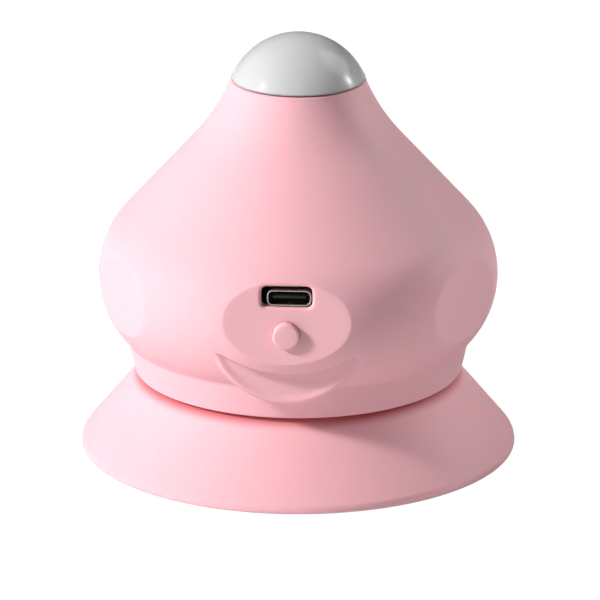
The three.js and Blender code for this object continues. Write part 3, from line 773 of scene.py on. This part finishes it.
def front_part(face, wall, radii, ups, is_skin, columns):
    """Points of the finely divided front, with its oval and smile, and the inside behind them."""
    outline = face.outline
    # the columns keep their sideways place where the body is wide, and narrow with it above
    share = np.minimum(1.0, radii / FULL_WIDTH_RADIUS)[:, None]
    x = columns[None, :] * share
    z = np.broadcast_to(ups[:, None], x.shape).copy()
    x, z = snap(face, x, z, is_skin)
    base_out = np.sqrt(np.maximum(radii[:, None] ** 2 - x**2, 0))
    drop = np.sqrt(np.maximum(outline.radius(z) ** 2 - x**2, 0)) - face.forward(x, z)
    out = base_out - np.where(is_skin[:, None], drop, 0)
    behind_oval = face.plane_out - 2.4
    behind_smile = face.smile - wall
    inner_flat = np.where(ups > outline.waist - 7, behind_oval, behind_smile)[:, None]
    flat_rows = (ups > outline.rim + 3) & (ups < outline.waist + 12) & ~is_skin
    out = np.where(flat_rows[:, None], np.minimum(out, inner_flat), out)
    return np.stack([x, -out, z], axis=-1)


def turned_part(flat, wall, radii, ups, is_skin, angles):
    """Points of the turned sides and back, held inside the side ovals' planes."""
    radius = np.broadcast_to(radii[:, None], (len(radii), len(angles))).copy()
    for side in (-1, 1):
        away = np.abs(angles - side * math.radians(SIDE_OVAL_TURN))
        near = away < math.radians(SIDE_OVAL_REACH)
        far_out = 1e3
        outer = np.where(near, flat / np.maximum(np.cos(away), 0.3), far_out)
        inner = np.where(near, (flat - wall) / np.maximum(np.cos(away), 0.3), far_out)
        limit = np.where(is_skin[:, None], outer[None, :], inner[None, :])
        radius = soft_min(radius, limit, SIDE_BLEND)
    x = radius * np.sin(angles)[None, :]
    y = -radius * np.cos(angles)[None, :]
    return np.stack([x, y, np.broadcast_to(ups[:, None], x.shape)], axis=-1)


def housing_mesh(sizes):
    outline = Outline(sizes)
    face = Face(outline, sizes)
    wall = sizes.wall / MM
    rows = skin_rows(outline, wall)
    front, right = skin_columns(outline.widest)
    flat = outline.widest - sizes.side_oval_depth / MM
    parts = [front_part(face, wall, *rows, front)]
    for angles in (right, np.array([math.pi]), -right[::-1]):
        parts.append(turned_part(flat, wall, *rows, angles))
    grid = np.concatenate(parts, axis=1)
    points = (grid.reshape(-1, 3) * MM).tolist()
    sharp = 50
    skin = finish_mesh("lamp_housing", points, ring_faces(grid.shape[0], grid.shape[1]), sharp)

    port = rounded_rectangle(face.port_wide * MM, face.port_high * MM, PORT_CORNER * MM, 10)
    port = moved(port, 0, face.port_up * MM)
    hole = arc((0, face.button_up * MM), face.hole * MM, 0, 2 * math.pi, 64)[:-1]
    cut_front, cut_back = -0.05, -0.030
    combine(skin, prism("port_tool", port, cut_front, cut_back), "DIFFERENCE")
    combine(skin, prism("hole_tool", hole, cut_front, cut_back), "DIFFERENCE")
    smooth(skin, sharp)
    return skin


def snap(face, x, z, is_skin):
    """Moves grid points that lie close to the smile's two edges onto them."""
    reach = 0.13
    for centre, radius, other_edge in (
        (face.top_centre, face.top_round, face.lower_edge),
        (face.low_centre, face.low_round, face.upper_edge),
    ):
        away = np.hypot(x, z - centre)
        near = (np.abs(away - radius) < reach) & (other_edge(x, z) > -0.2)
        near = near & is_skin[:, None] & (z < face.outline.waist)
        scale = np.where(near, radius / np.maximum(away, 1e-6), 1.0)
        x = x * scale
        z = centre + (z - centre) * scale
    return x, z


# ---------------------------------------------------------------- operators


def sizes_now():
    return bpy.context.scene.lamp_sizes


def colours_now():
    return bpy.context.scene.lamp_colours


def floor_finish(colour):
    """A floor of pale paper that looks mostly like a white glow to the camera."""
    material = bpy.data.materials.new("pale_floor")
    material.use_nodes = True
    tree = material.node_tree
    tree.nodes.clear()
    out = tree.nodes.new("ShaderNodeOutputMaterial")
    paper = tree.nodes.new("ShaderNodeBsdfDiffuse")
    pigment = use_group(tree, "pigment_cloud", Colour=tuple(colour), Amount=0.01)
    tree.links.new(pigment.outputs["Colour"], paper.inputs["Color"])
    glow = tree.nodes.new("ShaderNodeEmission")
    glow.inputs["Strength"].default_value = FLOOR_GLOW
    seen = tree.nodes.new("ShaderNodeLightPath")
    share = math_node(tree, "MULTIPLY", seen.outputs["Is Camera Ray"], FLOOR_SHARE)
    mix = tree.nodes.new("ShaderNodeMixShader")
    tree.links.new(share, mix.inputs[0])
    tree.links.new(paper.outputs[0], mix.inputs[1])
    tree.links.new(glow.outputs[0], mix.inputs[2])
    tree.links.new(mix.outputs[0], out.inputs["Surface"])
    return material


def stand(name, data, aim, turn, rise, distance_away):
    """Puts a light or the camera at its place round the aim, and turns it to look there."""
    turn, rise = math.radians(turn), math.radians(rise)
    away = Vector((math.sin(turn) * math.cos(rise), -math.cos(turn) * math.cos(rise), math.sin(rise)))
    obj = bpy.data.objects.new(name, data)
    obj.location = aim + away * distance_away
    obj.rotation_euler = away.to_track_quat("Z", "Y").to_euler()
    bpy.context.scene.collection.objects.link(obj)
    return obj


class LAMP_OT_stage(bpy.types.Operator):
    """Makes the pale floor, the soft lights and the camera"""

    bl_idname = "lamp.stage"
    bl_label = "Stage"

    def execute(self, context):
        scene = context.scene
        corners = []
        for sx, sy in ((-1, -1), (1, -1), (1, 1), (-1, 1)):
            corners.append((sx * FLOOR_HALF, sy * FLOOR_HALF, FLOOR_HEIGHT))
        floor = finish_mesh("floor", corners, [(0, 1, 2, 3)])
        floor.data.materials.append(floor_finish(colours_now().floor))

        world = bpy.data.worlds.new("soft_room")
        world.use_nodes = True
        room = world.node_tree.nodes["Background"]
        room.inputs["Color"].default_value = (1, 1, 1, 1)
        room.inputs["Strength"].default_value = ROOM_STRENGTH
        scene.world = world
        scene.view_settings.view_transform = "Standard"

        aim = Vector((0, 0, LIGHT_AIM))
        for name, turn, rise, reach, width, height, power, mirrored in LIGHTS:
            data = bpy.data.lights.new(name, "AREA")
            data.shape = "RECTANGLE"
            data.size, data.size_y = width, height
            data.energy = power
            light = stand(name, data, aim, turn, rise, reach)
            light.visible_glossy = mirrored

        data = bpy.data.cameras.new("camera")
        data.lens = CAMERA_LENS
        data.sensor_width = 36.0
        data.shift_x = CAMERA_SHIFT
        data.clip_start, data.clip_end = 0.05, 20.0
        aim = Vector((0, 0, CAMERA_AIM))
        camera = stand("camera", data, aim, CAMERA_TURN, CAMERA_RISE, CAMERA_DISTANCE)
        scene.camera = camera
        return {"FINISHED"}


class LAMP_OT_housing(bpy.types.Operator):
    """Makes the pink housing with its ovals, smile and openings"""

    bl_idname = "lamp.housing"
    bl_label = "Housing"

    def execute(self, context):
        pink = finish_of(
            "pink_moulding",
            colours_now().pink,
            0.56,
            grain=0.25,
            Subsurface_Weight=0.4,
            Subsurface_Radius=(1.0, 0.3, 0.25),
            Subsurface_Scale=0.0012,
        )
        place(housing_mesh(sizes_now()), LAMP_BODY, pink, "housing_shell")
        return {"FINISHED"}


class LAMP_OT_foot(bpy.types.Operator):
    """Makes the soft flared foot"""

    bl_idname = "lamp.foot"
    bl_label = "Foot"

    def execute(self, context):
        radius, top = node_high("foot").x, node_high("foot").z
        bulge = node_high("housing_shell").x
        rim = node_low("housing_shell").z
        lip = 1.3 * MM
        narrow = bulge - 8.7 * MM
        slope = (radius - narrow) / (rim - lip)
        wall, web = 2.8 * MM, 2.8 * MM
        sideways = wall * math.hypot(1, slope)
        bore = (SPIGOT_RADIUS + 0.3) * MM
        upper = radius - slope * (top - lip)
        under = radius - slope * (top - web - lip)
        outline = [
            (radius - sideways, 0.0),
            (radius, 0.0),
            (radius, lip),
            (upper, top),
            (bore, top),
            (bore, top - web),
            (under - sideways, top - web),
            (radius - sideways, lip),
        ]
        rounds = [v * MM for v in (0.4, 0.45, 2.2, 0.5, 0.2, 0.2, 1.2, 0.5)]
        profile = filleted(outline, rounds)
        foot = turned("lamp_foot", profile, 192)
        soft = finish_of(
            "soft_pink_silicone",
            colours_now().foot_pink,
            0.6,
            grain=0.2,
            Subsurface_Weight=0.4,
            Subsurface_Radius=(1.0, 0.3, 0.25),
            Subsurface_Scale=0.0014,
        )
        tree = soft.node_tree
        shader = tree.nodes["Principled BSDF"]
        # only the outer face just under the collar takes the deeper colour, a painted shade for the
        # shadow and red bounce light there
        painted_shade = use_group(
            tree,
            "crevice_painted_shade",
            Deep_Colour=tuple(colours_now().painted_crevice_shade),
            Start=rim - 2.8 * MM,
            End=rim - 0.2 * MM,
            Inner_Radius=bulge - 9.3 * MM,
        )
        pigment = shader.inputs["Base Color"].links[0].from_socket
        tree.links.new(pigment, painted_shade.inputs["Colour"])
        tree.links.new(painted_shade.outputs["Colour"], shader.inputs["Base Color"])
        place(foot, FOOT_BODY, soft, "foot")
        return {"FINISHED"}


def dome_of(profile):
    """A turned piece whose profile meets the axis twice: once outside and once inside."""
    poles = [i for i, (r, _) in enumerate(profile) if r == 0.0]
    outer, inner = profile[: poles[0] + 1], profile[poles[1]:]
    return turned("press_dome_cap", inner + outer, 128)


class LAMP_OT_dome(bpy.types.Operator):
    """Makes the grey silicone dome that closes the mouth"""

    bl_idname = "lamp.dome"
    bl_label = "Dome"

    def execute(self, context):
        low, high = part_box("press_dome")
        mouth = node_high("housing_shell").z
        seam, wall = 0.3 * MM, 2.6 * MM
        base = mouth + seam
        radius = high.x
        rise = high.z - base
        sphere = (radius**2 + rise**2) / (2 * rise)
        centre = high.z - sphere
        plug, bore = 10.8 * MM, 9.0 * MM
        inner = sphere - wall
        start = math.acos(radius / sphere)
        cap = arc((0, centre), sphere, start + 0.02, math.pi / 2, 48)
        hollow = arc((0, centre), inner, math.pi / 2, math.acos(bore / inner), 20)
        corner = [(radius, base + 0.5 * MM), (radius - 0.05 * MM, base), (plug, base)]
        edge = filleted(corner, [0, 0.25 * MM, 0])
        bead = mouth - 2.7 * MM
        bead_radius = plug + 1.4 * MM
        profile = edge[1:-1] + cap + hollow
        profile += [(bore, low.z), (plug + 0.5 * MM, low.z)]
        profile += [(bead_radius, bead - 0.8 * MM), (bead_radius, bead), (plug, bead), (plug, base)]
        profile = [(0.0 if abs(r) < 1e-9 else r, z) for r, z in profile]
        dome = dome_of(profile)
        grey = finish_of(
            "grey_silicone_gloss",
            colours_now().dome_grey,
            0.24,
            grain=0.0,
            spread=0.03,
            Specular_IOR_Level=0.35,
            Subsurface_Weight=0.15,
            Subsurface_Radius=(1.0, 1.0, 1.0),
            Subsurface_Scale=0.002,
        )
        place(dome, LAMP_BODY, grey, "press_dome")
        return {"FINISHED"}


class LAMP_OT_button(bpy.types.Operator):
    """Makes the round power button"""

    bl_idname = "lamp.button"
    bl_label = "Button"

    def execute(self, context):
        low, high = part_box("power_button")
        middle = (low.z + high.z) / 2
        radius = BUTTON_RADIUS * MM
        edge = sizes_now().button_edge
        shorter = 0.2 * MM
        length = high.y - low.y - shorter
        cap = [(0.0, 0.0), (radius, 0.0)]
        cap += arc((radius - edge, length - edge), edge, 0, math.pi / 2, 8)
        cap += [(0.0, length)]
        button = turned("power_button_cap", cap, 96)
        button.data.transform(Matrix.Rotation(math.pi / 2, 4, "X"))
        button.data.transform(Matrix.Translation((0, high.y, middle)))
        tabs = rounded_rectangle(high.x - low.x, high.z - low.z, 1.0 * MM)
        flange = prism("flange", moved(tabs, 0, middle), high.y - 1.0 * MM, high.y)
        combine(button, flange, "UNION")
        smooth(button)
        pink = bpy.data.materials["pink_moulding"]
        place(button, BUTTON_BODY, pink, "power_button")
        return {"FINISHED"}


class LAMP_OT_socket(bpy.types.Operator):
    """Makes the USB-C socket's plated shell and its dark insulator"""

    bl_idname = "lamp.socket"
    bl_label = "Socket"

    def execute(self, context):
        low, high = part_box("usb_c_shell")
        across, up = (low.x + high.x) / 2, (low.z + high.z) / 2
        width, height = high.x - low.x, high.z - low.z
        corner, wall = 1.25 * MM, 0.3 * MM
        half = wall / 2
        # from the back along the outside, round the front edge, and back along the inside
        rows = [(0.0, high.y)]
        for angle in np.linspace(0, math.pi, 9):
            inset = half - half * math.cos(angle)
            rows.append((inset, low.y + half * 0.8 * (1 - math.sin(angle))))
        rows.append((wall, high.y))
        sections = []
        for inset, y in rows:
            outline = rounded_rectangle(width - 2 * inset, height - 2 * inset, corner - inset, 10)
            sections.append((moved(outline, across, up), y))
        sleeve = swept_along_y("socket_sleeve", sections, 40, capped=False)
        notch = rounded_rectangle(0.16 * MM, 0.5 * MM, 0.05 * MM, 3)
        notch = moved(notch, across, low.z + 0.15 * MM)
        combine(sleeve, prism("notch", notch, low.y - 1 * MM, low.y + 1.6 * MM), "DIFFERENCE")
        smooth(sleeve, 40)
        metal = finish_of("plated_nickel", colours_now().metal, 0.34, grain=0.1, Metallic=1.0)
        place(sleeve, LAMP_BODY, metal, "usb_c_shell")

        core_low, core_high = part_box("usb_c_tongue")
        black = finish_of("black_insulator", (0.007, 0.007, 0.008), 0.5, grain=0.2)
        block = rounded_rectangle(core_high.x - core_low.x, core_high.z - core_low.z, 0.8 * MM)
        root = prism("socket_core", moved(block, across, up), core_high.y - 2.1 * MM, core_high.y)
        half_width = 3.35
        sections = []
        for inset, depth in ((0.15, 0.0), (0.05, 0.05), (0.0, 0.2), (0.0, 4.5)):
            tongue_width = 2 * (half_width - inset) * MM
            tongue_height = 2 * (TONGUE_HALF - inset) * MM
            outline = rounded_rectangle(tongue_width, tongue_height, 0.15 * MM, 4)
            sections.append((moved(outline, across, up), core_low.y + depth * MM))
        tongue = swept_along_y("tongue", sections)
        combine(root, tongue, "UNION")
        smooth(root)
        place(root, LAMP_BODY, black, "usb_c_tongue")
        return {"FINISHED"}


class LAMP_OT_contacts(bpy.types.Operator):
    """Makes the two rows of gold contacts on the socket's tongue"""

    bl_idname = "lamp.contacts"
    bl_label = "Contacts"

    def execute(self, context):
        front = node_low("usb_c_tongue").y
        shell_low, shell_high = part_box("usb_c_shell")
        up = (shell_low.z + shell_high.z) / 2
        across = (shell_low.x + shell_high.x) / 2
        pads = []
        for side in (1, -1):
            pad = rounded_rectangle(0.24 * MM, 0.05 * MM, 0.02 * MM, 2)
            pad = moved(pad, across, up + side * (TONGUE_HALF + 0.012) * MM)
            pads.append(prism("pad", pad, front + 0.45 * MM, front + 3.6 * MM))
        contacts = join(pads, "socket_contacts")
        gold = finish_of("gold_contact", (0.83, 0.60, 0.25), 0.25, grain=0.1, Metallic=1.0)
        tree = repeat_tree("repeat_in_line", "Pitch", points_in_line)
        repeated(contacts, tree, gold, Count=12, Pitch=0.5 * MM)
        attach(contacts, LAMP_BODY)
        return {"FINISHED"}


class LAMP_OT_cover(bpy.types.Operator):
    """Makes the cover under the housing, with the spigot that the foot turns on"""

    bl_idname = "lamp.cover"
    bl_label = "Bottom cover"

    def execute(self, context):
        low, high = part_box("bottom_cover")
        screw_low, screw_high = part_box("cover_screw_1")
        radius = high.x
        under = node_high("foot").z + 0.3 * MM
        top = under + 2.0 * MM
        spigot = SPIGOT_RADIUS * MM
        bore = spigot - 2.5 * MM
        lip_top = low.z + 2.0 * MM
        outline = [
            (bore, under),
            (bore, low.z),
            (spigot, low.z),
            (spigot + 1.4 * MM, low.z + 0.7 * MM),
            (spigot + 1.4 * MM, lip_top),
            (spigot, lip_top),
            (spigot, under),
            (radius, under),
            (radius, top),
        ]
        rounds = [v * MM for v in (0.5, 0.3, 0.3, 0.3, 0.2, 0.1, 0.1, 0.2, 0.2)]
        body = filleted(outline + [(0.0, top), (0.0, under)], rounds + [0, 0])
        profile = [(0.0, under)] + body[:-2] + [(0.0, top)]
        cover = turned("lamp_cover", profile, 160)

        screw_place = (screw_low.x + screw_high.x) / 2
        head_radius, hole_radius = 2.4 * MM, 1.25 * MM
        below, seat, above = under - 1 * MM, screw_low.z + 1.2 * MM, top + 1 * MM
        recess = [
            (0.0, below),
            (head_radius, below),
            (head_radius, seat),
            (hole_radius, seat),
            (hole_radius, above),
            (0.0, above),
        ]
        for sx, sy in ((1, 1), (1, -1), (-1, 1), (-1, -1)):
            tool = turned("recess", recess, 40)
            tool.data.transform(Matrix.Translation((sx * screw_place, sy * screw_place, 0)))
            combine(cover, tool, "DIFFERENCE")
        smooth(cover)
        pink = bpy.data.materials["pink_moulding"]
        place(cover, LAMP_BODY, pink, "bottom_cover")
        return {"FINISHED"}


class LAMP_OT_screws(bpy.types.Operator):
    """Makes the four cross-head screws of the cover"""

    bl_idname = "lamp.screws"
    bl_label = "Cover screws"

    def execute(self, context):
        low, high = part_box("cover_screw_1")
        circle = math.hypot((low.x + high.x) / 2, (low.y + high.y) / 2)
        head, shank, tall = 2.1 * MM, 0.95 * MM, 1.1 * MM
        profile = [(0.0, low.z)]
        profile += arc((head - 0.5 * MM, low.z + 0.5 * MM), 0.5 * MM, -math.pi / 2, 0, 6)
        profile += [(head, low.z + tall), (shank, low.z + tall)]
        turns = 9
        pitch = (high.z - low.z - tall - 1.0 * MM) / turns
        for i in range(turns):
            start = low.z + tall + pitch * (i + 0.2)
            profile += [(shank - 0.2 * MM, start + pitch * 0.3), (shank, start + pitch * 0.6)]
        profile += [(0.3 * MM, high.z), (0.0, high.z)]
        screw = turned("cover_screws", profile, 32)
        upright = Matrix.Rotation(math.pi / 2, 4, "X")
        for turn in (0, math.pi / 2):
            bar = rounded_rectangle(2.3 * MM, 0.46 * MM, 0.1 * MM, 2)
            slot = prism("slot", bar, low.z - 1 * MM, low.z + 0.75 * MM)
            slot.data.transform(Matrix.Rotation(turn, 4, "Z") @ upright)
            combine(screw, slot, "DIFFERENCE")
        metal = bpy.data.materials["plated_nickel"]
        tree = repeat_tree("repeat_on_circle", "Circle Radius", points_on_circle)
        repeated(screw, tree, metal, Count=4, Circle_Radius=circle)
        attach(screw, LAMP_BODY)
        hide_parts("cover_screw_1", "cover_screw_2", "cover_screw_3", "cover_screw_4")
        return {"FINISHED"}


class LAMP_OT_inside(bpy.types.Operator):
    """Gives the pieces inside their finishes"""

    bl_idname = "lamp.inside"
    bl_label = "Inside pieces"

    def execute(self, context):
        finishes = {
            "clear": finish_of(
                "clear_acrylic_core", (0.95, 0.97, 0.98), 0.08, Transmission_Weight=1.0, IOR=1.49
            ),
            "led": finish_of("led_package", (0.83, 0.80, 0.60), 0.3),
            "mask": finish_of("white_mask", (0.80, 0.80, 0.76), 0.5, grain=0.2),
            "green": finish_of("green_board", (0.012, 0.13, 0.04), 0.45, grain=0.3),
            "alu": finish_of("cast_aluminium", (0.56, 0.57, 0.58), 0.38, grain=0.4, Metallic=1.0),
            "black": bpy.data.materials["black_insulator"],
            "white": finish_of("white_nylon", (0.78, 0.76, 0.70), 0.5, grain=0.2),
            "blue": finish_of("blue_sleeve", (0.03, 0.12, 0.34), 0.35, grain=0.1),
            "foam": finish_of("black_foam", (0.015, 0.015, 0.016), 0.9, grain=1.0, grain_scale=900.0),
            "red": finish_of("red_lead", (0.45, 0.015, 0.012), 0.45, grain=0.1),
            "metal": bpy.data.materials["plated_nickel"],
        }
        looks = {
            "led_lens": "clear",
            "led_board": "mask",
            "heat_sink": "alu",
            "main_board": "green",
            "switch_plunger": "black",
            "switch_body": "black",
            "charge_controller": "black",
            "power_inductor": "black",
            "buffer_capacitor": "alu",
            "led_connector": "white",
            "battery_connector": "white",
            "battery_cell": "blue",
            "battery_pad": "foam",
            "battery_lead_red": "red",
            "battery_lead_black": "black",
            "led_lead_red": "red",
            "led_lead_black": "black",
        }
        for name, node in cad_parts.items():
            if node.hide_render:
                continue
            if name.startswith("uv_led"):
                look = "led"
            elif "screw" in name:
                look = "metal"
            else:
                look = looks[name]
            node.data.materials.clear()
            node.data.materials.append(finishes[look])
        return {"FINISHED"}


class LAMP_PT_panel(bpy.types.Panel):
    """Lists the lamp's sizes, colours and pieces"""

    bl_label = "Press Lamp"
    bl_idname = "LAMP_PT_panel"
    bl_space_type = "VIEW_3D"
    bl_region_type = "UI"
    bl_category = "Press Lamp"

    def draw(self, context):
        layout = self.layout
        for settings in (context.scene.lamp_sizes, context.scene.lamp_colours):
            box = layout.box()
            for name in settings.__annotations__:
                box.prop(settings, name)
        for operator in OPERATORS:
            layout.operator(operator.bl_idname)


OPERATORS = (
    LAMP_OT_stage,
    LAMP_OT_housing,
    LAMP_OT_foot,
    LAMP_OT_dome,
    LAMP_OT_button,
    LAMP_OT_socket,
    LAMP_OT_contacts,
    LAMP_OT_cover,
    LAMP_OT_screws,
    LAMP_OT_inside,
)
CLASSES = (LampSizes, LampColours, *OPERATORS, LAMP_PT_panel)


def register():
    for cls in CLASSES:
        bpy.utils.register_class(cls)
    bpy.types.Scene.lamp_sizes = bpy.props.PointerProperty(type=LampSizes)
    bpy.types.Scene.lamp_colours = bpy.props.PointerProperty(type=LampColours)


def unregister():
    del bpy.types.Scene.lamp_colours
    del bpy.types.Scene.lamp_sizes
    for cls in reversed(CLASSES):
        bpy.utils.unregister_class(cls)


def main():
    register()
    bpy.ops.lamp.stage()
    bpy.ops.lamp.housing()
    bpy.ops.lamp.foot()
    bpy.ops.lamp.dome()
    bpy.ops.lamp.button()
    bpy.ops.lamp.socket()
    bpy.ops.lamp.contacts()
    bpy.ops.lamp.cover()
    bpy.ops.lamp.screws()
    bpy.ops.lamp.inside()


if __name__ == "__main__":
    main()
